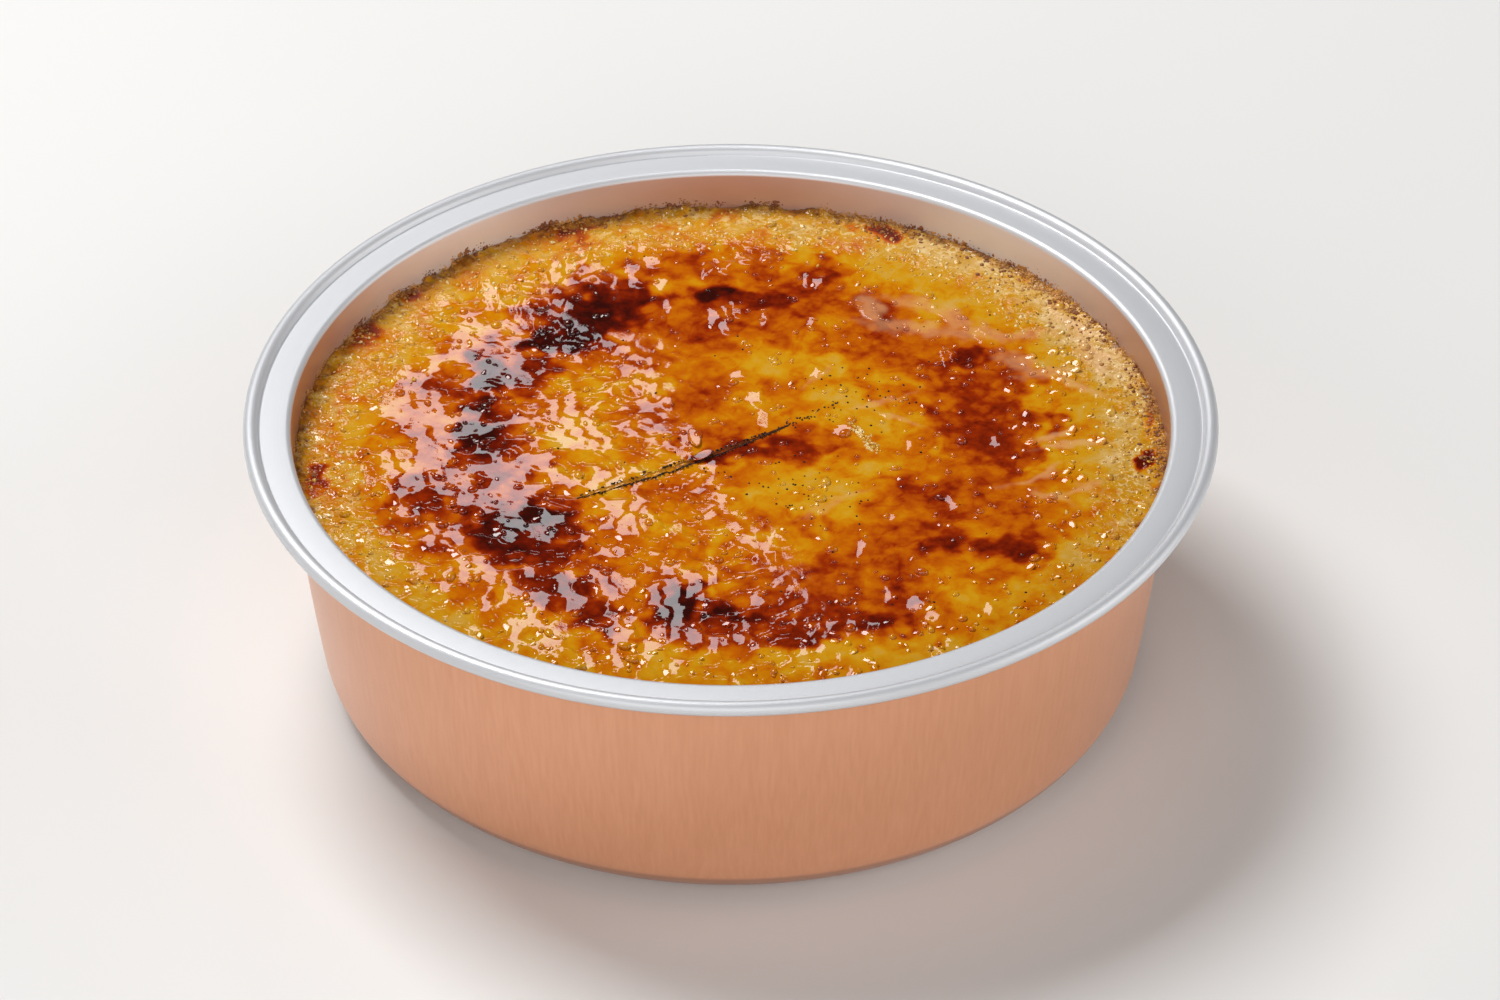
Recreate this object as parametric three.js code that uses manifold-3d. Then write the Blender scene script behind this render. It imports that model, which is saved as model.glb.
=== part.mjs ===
// A creme brulee in the pressed aluminium cup that it is sold in.
//
// Units are millimetres and +Z is up. The origin is the centre of the cup's flat base, and +Z is the
// cup's axis. Depths are measured down from the flange. The cup is round about its axis; the crust is
// uneven, and a sliver of vanilla pod lies across it, half sunk in the caramel.

import * as THREE from 'three';
import { mergeVertices } from 'three/addons/utils/BufferGeometryUtils.js';
import Module from 'manifold-3d';

// The cup
const RIM_DIAMETER = 100; // over the rolled bead
const FLANGE_HEIGHT = 30; // from the base to the flange's upper face
const SHEET = 0.3; // thickness of the pressed sheet
const BEAD_RADIUS = 0.77; // of the roll along the rim's edge
const FLANGE_INNER_RADIUS = 45.7; // where the level flange starts
const LIP_RADIUS = 0.6; // rounding from the flange down into the wall, on its upper face
const WALL_TAPER = 0.044; // radius lost for each mm of depth, just below the flange
const WALL_BULGE = 0.0022; // radius lost for each square mm of depth: the wall is slightly barrel-shaped
const CORNER_RADIUS = 5.4; // rounding from the wall into the base, on its outer face

// The custard and its crust
const GAP = 0.3; // clearance between touching pieces
const CRUST_DEPTH = 4.4; // from the flange down to the crust's mean level
const SWELL_HEIGHT = 0.16; // of the crust's slow swells
const SWELL_WAVELENGTH = 31;
const BLISTER_HEIGHT = 0.12; // of the finer, blistered unevenness
const BLISTER_WAVELENGTH = 11;
const CLIMB_HEIGHT = 0.25; // how far the crust climbs the wall
const CLIMB_WIDTH = 4; // width of the band that climbs

// The vanilla pod, which runs between these two places on the crust
const POD_START = new THREE.Vector2(-15.6, -8.5);
const POD_END = new THREE.Vector2(6.1, 4.1);
const POD_BOW = 1.1; // how far the control point of its curve lies from the straight line
const POD_WIDTH = 1.5;
const POD_THICKNESS = 0.7;
const POD_PROUD = 0.35; // how far its upper face stands above the crust's mean level

// Fineness of the facets
const SEGMENTS = 64; // round the axis
const CORNER_STEPS = 5;
const WALL_STEPS = 6;
const LIP_STEPS = 2;
const BEAD_STEPS = 7; // in each half of the bead
const CRUST_RINGS = 12;
const POD_STEPS = 12;

const CRUST_HEIGHT = FLANGE_HEIGHT - CRUST_DEPTH;

const aluminium = new THREE.MeshStandardMaterial({ color: 0xc68c6a, roughness: 0.4, metalness: 1 });
const caramel = new THREE.MeshStandardMaterial({ color: 0xcf861f, roughness: 0.15, metalness: 0 });
const vanilla = new THREE.MeshStandardMaterial({ color: 0x2b1a0d, roughness: 0.45, metalness: 0 });

const wasm = await Module();
wasm.setup();

/** Radius of the wall's outer face at a depth below the flange. */
function wallRadius(depth) {
  return FLANGE_INNER_RADIUS - LIP_RADIUS + SHEET - WALL_TAPER * depth - WALL_BULGE * depth ** 2;
}

/** Points along an arc about (radius, height), with both ends, between two angles in degrees. */
function arc(radius, height, size, from, to, steps) {
  return Array.from({ length: steps + 1 }, (_, i) => {
    const angle = THREE.MathUtils.degToRad(THREE.MathUtils.lerp(from, to, i / steps));
    return new THREE.Vector2(radius + size * Math.cos(angle), height + size * Math.sin(angle));
  });
}

/** Outline from the middle of the base, round the corner and up the wall, inset from the outside. */
function bowlOutline(inset, top) {
  const slope = Math.atan(WALL_TAPER + 2 * WALL_BULGE * (FLANGE_HEIGHT - CORNER_RADIUS));
  const cornerTop = CORNER_RADIUS * (1 - Math.sin(slope));
  const cornerCentre = wallRadius(FLANGE_HEIGHT - cornerTop) - CORNER_RADIUS * Math.cos(slope);
  const cornerEnd = -THREE.MathUtils.radToDeg(slope);
  const corner = arc(cornerCentre, CORNER_RADIUS, CORNER_RADIUS - inset, -90, cornerEnd, CORNER_STEPS);
  const wall = Array.from({ length: WALL_STEPS }, (_, i) => {
    const height = THREE.MathUtils.lerp(cornerTop, top, (i + 1) / WALL_STEPS);
    return new THREE.Vector2(wallRadius(FLANGE_HEIGHT - height) - inset, height);
  });
  return [new THREE.Vector2(0, inset), ...corner, ...wall];
}

/** A solid of revolution about +Z, from an outline of (radius, height) that starts and ends on the axis. */
function revolve(outline) {
  return new THREE.LatheGeometry(outline, SEGMENTS).rotateX(Math.PI / 2);
}

/** The cup's solid: base, wall, lip and flange of one sheet, with the flange's edge rolled into a bead. */
function cupGeometry() {
  const lipHeight = FLANGE_HEIGHT - LIP_RADIUS;
  const beadCentre = RIM_DIAMETER / 2 - BEAD_RADIUS;
  const beadStart = THREE.MathUtils.radToDeg(Math.asin(SHEET / BEAD_RADIUS)) - 180;
  return revolve([
    ...bowlOutline(0, lipHeight),
    ...arc(FLANGE_INNER_RADIUS, lipHeight, LIP_RADIUS - SHEET, 150, 90, LIP_STEPS),
    ...arc(beadCentre, FLANGE_HEIGHT, BEAD_RADIUS, beadStart, 0, BEAD_STEPS).slice(0, -1),
    ...arc(beadCentre, FLANGE_HEIGHT, BEAD_RADIUS, 0, 180, BEAD_STEPS + 1),
    ...arc(FLANGE_INNER_RADIUS, lipHeight, LIP_RADIUS, 90, 150, LIP_STEPS),
    ...bowlOutline(SHEET, lipHeight).reverse(),
  ]);
}

/** Height of the crust over its mean level: swells, blisters and the climb at the wall. */
function relief(x, y, edgeRadius) {
  const swell = (2 * Math.PI) / SWELL_WAVELENGTH;
  const blister = (2 * Math.PI) / BLISTER_WAVELENGTH;
  const climb = Math.max(0, 1 - (edgeRadius - Math.hypot(x, y)) / CLIMB_WIDTH);
  return (
    SWELL_HEIGHT * Math.sin(swell * x + 0.6) * Math.cos(swell * y - 0.4) +
    BLISTER_HEIGHT * Math.sin(blister * (x + 0.6 * y)) * Math.sin(blister * (y - 0.5 * x) + 1) +
    CLIMB_HEIGHT * climb ** 2
  );
}

/** The custard's solid, which fills the cup up to the crust. */
function custardGeometry() {
  const side = bowlOutline(SHEET + GAP, CRUST_HEIGHT);
  const edgeRadius = side.at(-1).x;
  const rings = Array.from({ length: CRUST_RINGS }, (_, i) => {
    return new THREE.Vector2(edgeRadius * (1 - (i + 1) / CRUST_RINGS), CRUST_HEIGHT);
  });
  const geometry = revolve([...side, ...rings]);
  const { position } = geometry.attributes;
  const topmost = CRUST_HEIGHT - GAP / 2;
  for (let i = 0; i < position.count; i += 1) {
    if (position.getZ(i) > topmost) {
      position.setZ(i, position.getZ(i) + relief(position.getX(i), position.getY(i), edgeRadius));
    }
  }
  return geometry;
}

/** An upright sliver with the pod's bowed outline, grown sideways, between two heights. */
function sliverGeometry(grow, bottom, top) {
  const along = POD_END.clone().sub(POD_START);
  const across = new THREE.Vector2(along.y, -along.x).normalize();
  const middle = POD_START.clone().lerp(POD_END, 0.5).addScaledVector(across, POD_BOW);
  const spine = new THREE.QuadraticBezierCurve(POD_START, middle, POD_END);
  const offsetPoint = (t, side) => {
    const halfWidth = grow + (POD_WIDTH / 2) * Math.sqrt(Math.sin(Math.PI * THREE.MathUtils.lerp(0.04, 0.96, t)));
    return spine.getPoint(t).addScaledVector(across, side * halfWidth);
  };
  const steps = Array.from({ length: POD_STEPS + 1 }, (_, i) => i / POD_STEPS);
  const near = steps.map((t) => offsetPoint(t, 1));
  const far = steps.map((t) => offsetPoint(t, -1)).reverse();
  const outline = new THREE.Shape([...near, ...far]);
  const settings = { depth: top - bottom, bevelEnabled: false };
  return new THREE.ExtrudeGeometry(outline, settings).translate(0, 0, bottom);
}

/** A closed solid for cutting, from a geometry whose shared corners are first merged. */
function toSolid(geometry) {
  const bare = geometry.clone();
  bare.deleteAttribute('normal');
  bare.deleteAttribute('uv');
  const merged = mergeVertices(bare);
  const mesh = new wasm.Mesh({
    numProp: 3,
    vertProperties: merged.attributes.position.array,
    triVerts: new Uint32Array(merged.index.array),
  });
  mesh.merge();
  return new wasm.Manifold(mesh);
}

/** The geometry of a cut solid. */
function toGeometry(solid) {
  const { vertProperties, triVerts } = solid.getMesh();
  const geometry = new THREE.BufferGeometry();
  geometry.setAttribute('position', new THREE.BufferAttribute(vertProperties, 3));
  geometry.setIndex(new THREE.BufferAttribute(triVerts, 1));
  geometry.computeVertexNormals();
  return geometry;
}

/** A named mesh. */
function piece(name, geometry, material) {
  const mesh = new THREE.Mesh(geometry, material);
  mesh.name = name;
  return mesh;
}

const podTop = CRUST_HEIGHT + POD_PROUD;
const podBottom = podTop - POD_THICKNESS;
const channel = toSolid(sliverGeometry(GAP, podBottom - GAP, FLANGE_HEIGHT));
const custard = toSolid(custardGeometry()).subtract(channel);

const cremeBrulee = new THREE.Group();
cremeBrulee.add(
  piece('cup', cupGeometry(), aluminium),
  piece('custard', toGeometry(custard), caramel),
  piece('vanilla_pod', sliverGeometry(0, podBottom, podTop), vanilla),
);

export default cremeBrulee;
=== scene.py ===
"""A creme brulee in a copper-coloured aluminium cup, on a pale studio floor.

Lengths in the classes are millimetres, measured in the frame's axes: +Z up, the origin at the middle of
the cup's base. They become metres when a mesh is made. Depths are measured down from the flange.
"""

import logging
import math
import random
from collections.abc import Iterable, Sequence
from dataclasses import dataclass, field
from enum import Enum

import bmesh
import bpy
import numpy as np
from mathutils import Matrix, Vector, noise


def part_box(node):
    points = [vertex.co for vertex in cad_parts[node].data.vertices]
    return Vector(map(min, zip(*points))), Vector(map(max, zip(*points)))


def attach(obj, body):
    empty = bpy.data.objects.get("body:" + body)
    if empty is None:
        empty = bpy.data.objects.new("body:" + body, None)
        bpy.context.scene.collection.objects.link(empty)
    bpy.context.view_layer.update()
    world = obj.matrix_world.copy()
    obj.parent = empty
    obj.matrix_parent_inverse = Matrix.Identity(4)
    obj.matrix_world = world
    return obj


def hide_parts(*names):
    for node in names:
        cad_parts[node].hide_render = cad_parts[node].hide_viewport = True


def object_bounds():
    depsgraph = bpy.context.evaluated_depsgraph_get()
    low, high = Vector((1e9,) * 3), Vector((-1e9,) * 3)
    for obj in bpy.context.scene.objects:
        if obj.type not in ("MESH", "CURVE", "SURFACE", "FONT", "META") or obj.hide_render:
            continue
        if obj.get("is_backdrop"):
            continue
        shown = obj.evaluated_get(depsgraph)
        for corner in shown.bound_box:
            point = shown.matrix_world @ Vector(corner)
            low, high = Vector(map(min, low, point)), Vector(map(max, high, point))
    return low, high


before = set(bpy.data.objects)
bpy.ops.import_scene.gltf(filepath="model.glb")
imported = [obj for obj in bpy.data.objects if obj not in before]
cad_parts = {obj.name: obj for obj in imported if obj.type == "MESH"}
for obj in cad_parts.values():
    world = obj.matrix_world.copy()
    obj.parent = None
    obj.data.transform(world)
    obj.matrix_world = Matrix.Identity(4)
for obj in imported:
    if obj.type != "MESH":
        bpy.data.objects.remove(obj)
CAD_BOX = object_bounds()

MM = 0.001
LOG = logging.getLogger("creme_brulee")

Colour = tuple[float, float, float, float]

# which of a Mix node's inputs take the share and the two colours, and which output gives the colour
COLOUR_INPUTS = (0, 6, 7)
COLOUR_OUTPUT = 2


def srgb(red: int, green: int, blue: int) -> Colour:
    """Turn a display colour into the linear colour that a shader takes.

    Args:
        red: Red from 0 to 255.
        green: Green from 0 to 255.
        blue: Blue from 0 to 255.

    Returns:
        The linear colour, with an alpha of 1.
    """
    parts = (value / 255 for value in (red, green, blue))
    linear = [((part + 0.055) / 1.055) ** 2.4 if part > 0.04045 else part / 12.92 for part in parts]
    return (*linear, 1.0)


def smooth_step(values: np.ndarray, low: float, high: float) -> np.ndarray:
    """Rise smoothly from 0 where values reach low to 1 where they reach high.

    Args:
        values: What is tested.
        low: The value that gives 0.
        high: The value that gives 1. It may be less than low, for a fall.

    Returns:
        Numbers from 0 to 1, in the shape of values.
    """
    part = np.clip((values - low) / (high - low), 0.0, 1.0)
    return part * part * (3.0 - 2.0 * part)


def ripple(spots: np.ndarray, wavelength: float, seed: float) -> np.ndarray:
    """Smooth noise over the plane.

    Args:
        spots: Rows of (x, y).
        wavelength: The size of one lump.
        seed: Picks one of many patterns.

    Returns:
        One number for each spot, mostly between -0.6 and 0.6.
    """
    scaled = spots / wavelength
    return np.array([noise.noise((x, y, seed)) for x, y in scaled])


# --------------------------------------------------------------------------------------------------
# Building blocks
# --------------------------------------------------------------------------------------------------


class Shader:
    """A material under construction, with short ways to add the nodes that the finishes use."""

    def __init__(self, name: str) -> None:
        """Start a material that holds one principled shader.

        Args:
            name: The material's name.
        """
        self.material = bpy.data.materials.new(name)
        self.material.use_nodes = True
        self.tree = self.material.node_tree
        self.principled = self.tree.nodes["Principled BSDF"]
        self.place = self.add("ShaderNodeTexCoord").outputs["Object"]

    def add(self, kind: str, inputs: dict | None = None, **settings: object) -> bpy.types.Node:
        """Add a node.

        Args:
            kind: The node's type.
            inputs: What each input takes: a socket to link, or a value.
            settings: Properties of the node itself.

        Returns:
            The node.
        """
        node = self.tree.nodes.new(kind)
        for key, value in settings.items():
            setattr(node, key, value)
        for key, value in (inputs or {}).items():
            self.feed(node.inputs[key], value)
        return node

    def feed(self, socket: bpy.types.NodeSocket, value: object) -> None:
        """Give an input what it takes.

        Args:
            socket: The input.
            value: A socket, which is linked to it, or the input's own value.
        """
        if isinstance(value, bpy.types.NodeSocket):
            self.tree.links.new(value, socket)
        else:
            socket.default_value = value

    def set(self, **values: object) -> None:
        """Set or link the principled shader's sockets, named with underscores for spaces."""
        for key, value in values.items():
            self.feed(self.principled.inputs[key.replace("_", " ")], value)

    def stretched(self, x: float, y: float, z: float) -> bpy.types.NodeSocket:
        """The object's own coordinates, scaled along each axis."""
        return self.add("ShaderNodeMapping", {"Vector": self.place, "Scale": (x, y, z)}).outputs[0]

    def noise(self, scale: float, detail: float = 3.0, vector: object = None, warp: float = 0.0) -> object:
        """Noise from about 0.3 to 0.7.

        Args:
            scale: Lumps for each metre of the vector.
            detail: Octaves.
            vector: Where to read it, or None for the object's own coordinates.
            warp: How far the pattern is bent.

        Returns:
            The noise's socket.
        """
        inputs = {"Vector": vector or self.place, "Scale": scale, "Detail": detail, "Distortion": warp}
        return self.add("ShaderNodeTexNoise", inputs).outputs[0]

    def attribute(self, name: str) -> bpy.types.NodeSocket:
        """A number that the mesh carries at each point."""
        return self.add("ShaderNodeAttribute", attribute_name=name).outputs["Fac"]

    def math(self, operation: str, first: object, second: object = 0.0) -> bpy.types.NodeSocket:
        """The result of a sum on one or two numbers."""
        node = self.add("ShaderNodeMath", {0: first, 1: second}, operation=operation)
        return node.outputs[0]

    def spread(self, value: object, low: float, high: float, to_low: float, to_high: float) -> object:
        """Stretch the range from low to high onto another one, without going past its ends."""
        inputs = {"Value": value, 1: low, 2: high, 3: to_low, 4: to_high}
        return self.add("ShaderNodeMapRange", inputs).outputs[0]

    def ramp(self, factor: object, stops: Iterable[tuple[float, Colour]]) -> bpy.types.NodeSocket:
        """A colour looked up along a ramp.

        Args:
            factor: The place on the ramp.
            stops: Each stop's place and colour, in order.

        Returns:
            The colour's socket.
        """
        node = self.add("ShaderNodeValToRGB", {"Fac": factor})
        elements = node.color_ramp.elements
        stops = list(stops)
        elements.remove(elements[1])
        elements[0].position, elements[0].color = stops[0]
        for place, colour in stops[1:]:
            elements.new(place).color = colour
        return node.outputs[0]

    def mix(self, factor: object, first: object, second: object) -> object:
        """Mix two colours.

        Args:
            factor: How much of the second, from 0 to 1.
            first: The first colour.
            second: The second colour.

        Returns:
            The mixed colour's socket.
        """
        node = self.add("ShaderNodeMix", data_type="RGBA")
        for socket, value in zip(COLOUR_INPUTS, (factor, first, second)):
            self.feed(node.inputs[socket], value)
        return node.outputs[COLOUR_OUTPUT]

    def between(self, factor: object, first: object, second: object) -> bpy.types.NodeSocket:
        """A number between two others."""
        return self.add("ShaderNodeMix", {0: factor, 2: first, 3: second}).outputs[0]

    def bump(self, height: object, depth: float, under: object = None) -> bpy.types.NodeSocket:
        """Fine relief.

        Args:
            height: The pattern, where 1 stands depth above 0.
            depth: That height, in metres.
            under: The normal that it adds to, if any.

        Returns:
            The normal's socket.
        """
        inputs = {"Height": height, "Distance": depth, "Strength": 1.0}
        if under is not None:
            inputs["Normal"] = under
        return self.add("ShaderNodeBump", inputs).outputs[0]


def as_mesh(name: str, shape: bmesh.types.BMesh) -> bpy.types.Mesh:
    """Turn a shape into a mesh.

    Args:
        name: The mesh's name.
        shape: The shape, which is used up.

    Returns:
        The mesh.
    """
    mesh = bpy.data.meshes.new(name)
    shape.to_mesh(mesh)
    shape.free()
    return mesh


def put_in_scene(name: str, data: bpy.types.ID) -> bpy.types.Object:
    """Make an object of a mesh, a lamp or a lens and link it to the scene.

    Args:
        name: The object's name.
        data: What it shows.

    Returns:
        The object.
    """
    thing = bpy.data.objects.new(name, data)
    bpy.context.scene.collection.objects.link(thing)
    return thing


def open_edges(shape: bmesh.types.BMesh) -> list[bmesh.types.BMEdge]:
    """The edges that have a face on one side only."""
    return [edge for edge in shape.edges if edge.is_boundary]


def draw_edge(shape: bmesh.types.BMesh) -> list[bmesh.types.BMVert]:
    """Extrude a sheet's open edge by nothing, ready to be moved.

    Args:
        shape: The sheet.

    Returns:
        The new edge's vertices.
    """
    drawn = bmesh.ops.extrude_edge_only(shape, edges=open_edges(shape))["geom"]
    return [item for item in drawn if isinstance(item, bmesh.types.BMVert)]


def shut(shape: bmesh.types.BMesh) -> None:
    """Fill what is still open and turn all faces outwards."""
    bmesh.ops.holes_fill(shape, edges=open_edges(shape), sides=0)
    bmesh.ops.recalc_face_normals(shape, faces=shape.faces)


def finished(
    name: str,
    shape: bmesh.types.BMesh,
    material: bpy.types.Material,
    slot: str,
    stands_for: Sequence[str] = (),
) -> bpy.types.Object:
    """Args:
        name: The piece's name.
        shape: The shape in metres, which is used up.
        material: Its material.
        slot: Not used.
        stands_for: The CAD nodes that it replaces.

    Returns:
        The piece.
    """
    mesh = as_mesh(name, shape)
    mesh.polygons.foreach_set("use_smooth", [True] * len(mesh.polygons))
    mesh.materials.append(material)
    piece = put_in_scene(name, mesh)
    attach(piece, "root")
    if stands_for:
        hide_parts(*stands_for)
    LOG.info("%s: %d faces", name, len(mesh.polygons))
    return piece


def carry(piece: bpy.types.Object, name: str, values: np.ndarray) -> None:
    """Store a number for each of a piece's vertices, for its material to read.

    Args:
        piece: The piece.
        name: The attribute's name.
        values: One number for each vertex.
    """
    layer = piece.data.attributes.new(name, "FLOAT", "POINT")
    layer.data.foreach_set("value", np.asarray(values, dtype=np.float32))


def dress_with_field(piece: bpy.types.Object, crust: "CrustField", spots: np.ndarray) -> None:
    """Store what the crust is like at a piece's vertices, so that the piece matches what it lies on.

    Args:
        piece: The piece, whose material reads toast, grain, the film with its painted reflection, and
            residue.
        crust: The field that says what the crust is like.
        spots: Where each vertex is, as rows of (x, y).
    """
    carry(piece, "toast", crust.toast(spots))
    carry(piece, "grain", crust.grain(spots))
    carry(piece, "film_and_painted_reflection", crust.film_and_painted_reflection(spots))
    carry(piece, "residue", crust.residue(spots))


def plan(shape: bmesh.types.BMesh) -> np.ndarray:
    """Rows of (x, y) in millimetres, one for each vertex of a shape."""
    return np.array([vert.co[:2] for vert in shape.verts]) / MM


# --------------------------------------------------------------------------------------------------
# The cup
# --------------------------------------------------------------------------------------------------


@dataclass(frozen=True)
class CupSizes:
    """The cup's section, worked out from the frame and the sheet that it is pressed from."""

    rim_radius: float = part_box("cup")[1][0] / MM
    height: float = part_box("cup")[1][2] / MM
    bead_radius: float = 0.77
    sheet: float = 0.3
    flange_inner: float = 45.7
    lip: float = 0.6
    taper: float = 0.044
    bulge: float = 0.0022
    corner: float = 5.4

    @property
    def flange(self) -> float:
        """Height of the flange's upper face."""
        return self.height - self.bead_radius

    def wall(self, height: float) -> float:
        """Radius of the wall's outer face at a height."""
        depth = self.flange - height
        return self.flange_inner - self.lip + self.sheet - self.taper * depth - self.bulge * depth**2

    def bowl(self, inset: float, top: float, steps: int) -> list[tuple[float, float]]:
        """The outline from the base's middle, round the corner and up the wall.

        Args:
            inset: Distance in from the cup's outer face.
            top: Height at which it ends.
            steps: Points along the corner, and along the wall.

        Returns:
            Pairs of radius and height.
        """
        slope = math.atan(self.taper + 2 * self.bulge * (self.flange - self.corner))
        corner_top = self.corner * (1 - math.sin(slope))
        centre = self.wall(corner_top) - self.corner * math.cos(slope)
        corner = arc(centre, self.corner, self.corner - inset, -90, -math.degrees(slope), steps)
        heights = [corner_top + (top - corner_top) * (i + 1) / steps for i in range(steps)]
        return [(0.0, inset), *corner, *[(self.wall(height) - inset, height) for height in heights]]


def arc(radius: float, height: float, size: float, start: float, end: float, steps: int) -> list:
    """Points along an arc, both ends included.

    Args:
        radius: Distance of its centre from the cup's axis.
        height: Height of its centre.
        size: Its radius.
        start: Where it starts, in degrees.
        end: Where it ends, in degrees.
        steps: Stretches between points.

    Returns:
        Pairs of radius and height.
    """
    angles = [math.radians(start + (end - start) * i / steps) for i in range(steps + 1)]
    return [(radius + size * math.cos(angle), height + size * math.sin(angle)) for angle in angles]


@dataclass(frozen=True)
class LacqueredAluminium:
    """Satin aluminium with a copper-coloured lacquer everywhere below the lip."""

    lacquer: Colour = srgb(217, 154, 116)
    lacquer_deep: Colour = srgb(211, 147, 108)
    # the inner wall's lacquer, painted darker than the outer lacquer as painted shade inside the cup
    lacquer_inside_painted_shade: Colour = srgb(174, 120, 90)
    # pale painted sheen, laid on the inner wall at the angles listed in the cup
    lacquer_painted_sheen: Colour = srgb(224, 212, 203)
    bare: Colour = srgb(209, 210, 213)
    bare_deep: Colour = srgb(202, 203, 206)
    lacquer_roughness: float = 0.4
    bare_roughness: float = 0.52
    uneven: float = 0.05
    lacquer_metal: float = 0.35
    bare_metal: float = 0.45
    edge: float = 29.55

    def material(self) -> bpy.types.Material:
        """Build the material: drawing lines up the wall, turned rings on the flange, a fine grain, and
        painted shade and painted sheen on the inner wall.

        Returns:
            The material, which reads the attribute inside and the attribute that holds the painted sheen.
        """
        shader = Shader("lacquered_aluminium")
        height = shader.add("ShaderNodeSeparateXYZ", {"Vector": shader.place}).outputs[2]
        fade = 0.08 * MM
        bare = shader.spread(height, self.edge * MM - fade, self.edge * MM + fade, 0.0, 1.0)
        drawn = shader.noise(1.0, 4.0, shader.stretched(2600, 2600, 60))
        broad = shader.noise(1.0, 2.0, shader.stretched(500, 500, 25))
        grain = shader.noise(5200, 2.0)
        flat = shader.add("ShaderNodeVectorMath", {0: shader.place, 1: (1, 1, 0)}, operation="MULTIPLY")
        radius = shader.add("ShaderNodeVectorMath", {0: flat.outputs[0]}, operation="LENGTH")
        rings = shader.math("MULTIPLY", radius.outputs["Value"], 9000.0)
        turned = shader.noise(1.0, 3.0, shader.add("ShaderNodeCombineXYZ", {"X": rings}).outputs[0])
        lines = shader.math("ADD", shader.math("MULTIPLY", drawn, 0.7), shader.math("MULTIPLY", broad, 0.3))
        tone = shader.spread(lines, 0.36, 0.64, 0.0, 1.0)
        metal = shader.spread(bare, 0.0, 1.0, self.lacquer_metal, self.bare_metal)
        lacquer = shader.mix(tone, self.lacquer_deep, self.lacquer)
        # inner wall colour: lacquer darkened as painted shade, paler where the painted sheen lies
        inside = shader.mix(shader.attribute("painted_sheen"), self.lacquer_inside_painted_shade, self.lacquer_painted_sheen)
        lacquer = shader.mix(shader.attribute("inside"), lacquer, inside)
        silver = shader.mix(shader.spread(turned, 0.3, 0.7, 0.0, 1.0), self.bare_deep, self.bare)
        rough_lacquer = self.around(shader, grain, self.lacquer_roughness)
        rough_bare = self.around(shader, turned, self.bare_roughness)
        rough = shader.between(bare, rough_lacquer, rough_bare)
        relief = shader.between(bare, lines, turned)
        normal = shader.bump(grain, 0.004 * MM, shader.bump(relief, 0.006 * MM))
        shader.set(
            Base_Color=shader.mix(bare, lacquer, silver),
            Metallic=metal,
            Roughness=rough,
            Coat_Weight=0.5,
            Coat_Roughness=0.3,
            Normal=normal,
        )
        return shader.material

    def around(self, shader: Shader, pattern: object, roughness: float) -> object:
        """A roughness that a pattern raises and lowers a little."""
        return shader.spread(pattern, 0.3, 0.7, roughness - self.uneven, roughness + self.uneven)


@dataclass(frozen=True)
class Cup:
    """The pressed cup, its flange and its rolled bead, turned from one section.

    The inner wall's lacquer is painted paler at the listed angles, each with its share, as a painted sheen.
    """

    sizes: CupSizes = field(default_factory=CupSizes)
    turns: int = 240
    steps: int = 12
    # angles in degrees and shares of the painted sheen on the inner wall
    painted_sheen_at: tuple[tuple[float, float], ...] = ((50.0, 1.0), (129.0, 0.9))
    painted_sheen_spread: float = 24.0

    def section(self) -> list[tuple[float, float]]:
        """The section of the sheet, from the base's underside over the rim to the base's upper side.

        Returns:
            Pairs of radius and height.
        """
        size = self.sizes
        lip_height = size.flange - size.lip
        bead = size.rim_radius - size.bead_radius
        start = math.degrees(math.asin(size.sheet / size.bead_radius)) - 180
        return [
            # the underside and the wall's outer face
            *size.bowl(0.0, lip_height, self.steps),
            # under the lip and out to the bead
            *arc(size.flange_inner, lip_height, size.lip - size.sheet, 160, 90, 4),
            # round the bead, and through the small groove beside it
            *arc(bead, size.flange, size.bead_radius, start, 0, 9)[:-1],
            *arc(bead, size.flange, size.bead_radius, 0, 172, 12),
            (bead - size.bead_radius - 0.1, size.flange - 0.02),
            (bead - size.bead_radius - 0.24, size.flange),
            # in along the flange and over the lip
            (size.flange_inner + 0.12, size.flange),
            *arc(size.flange_inner, lip_height, size.lip, 90, 165, 6),
            # down the wall's inner face
            *reversed(size.bowl(size.sheet, lip_height, self.steps)),
        ]

    def build(self) -> bpy.types.Object:
        """Turn the section about the axis, and mark its inside and where its painted sheen lies.

        Returns:
            The piece.
        """
        shape = bmesh.new()
        ring = [shape.verts.new((radius * MM, 0.0, height * MM)) for radius, height in self.section()]
        edges = [shape.edges.new(pair) for pair in zip(ring, ring[1:])]
        bmesh.ops.spin(
            shape,
            geom=[*ring, *edges],
            axis=(0, 0, 1),
            cent=(0, 0, 0),
            angle=2 * math.pi,
            steps=self.turns,
            use_merge=True,
        )
        bmesh.ops.remove_doubles(shape, verts=shape.verts, dist=0.001 * MM)
        bmesh.ops.recalc_face_normals(shape, faces=shape.faces)
        spots = [(vert.co.xy.length / MM, vert.co.z / MM) for vert in shape.verts]
        inside = [radius < self.sizes.wall(height) - self.sizes.sheet / 2 for radius, height in spots]
        piece = finished("pressed_cup", shape, LacqueredAluminium().material(), "cup_aluminium", ["cup"])
        carry(piece, "inside", np.array(inside))
        angles = np.array([math.degrees(math.atan2(vert.co.y, vert.co.x)) for vert in piece.data.vertices])
        # painted sheen: how much paler the inner wall is painted at each vertex's angle
        painted_sheen = sum(share * np.exp(-(((angles - at) / self.painted_sheen_spread) ** 2)) for at, share in self.painted_sheen_at)
        carry(piece, "painted_sheen", painted_sheen)
        return piece


# --------------------------------------------------------------------------------------------------
# The crust
# --------------------------------------------------------------------------------------------------


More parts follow.
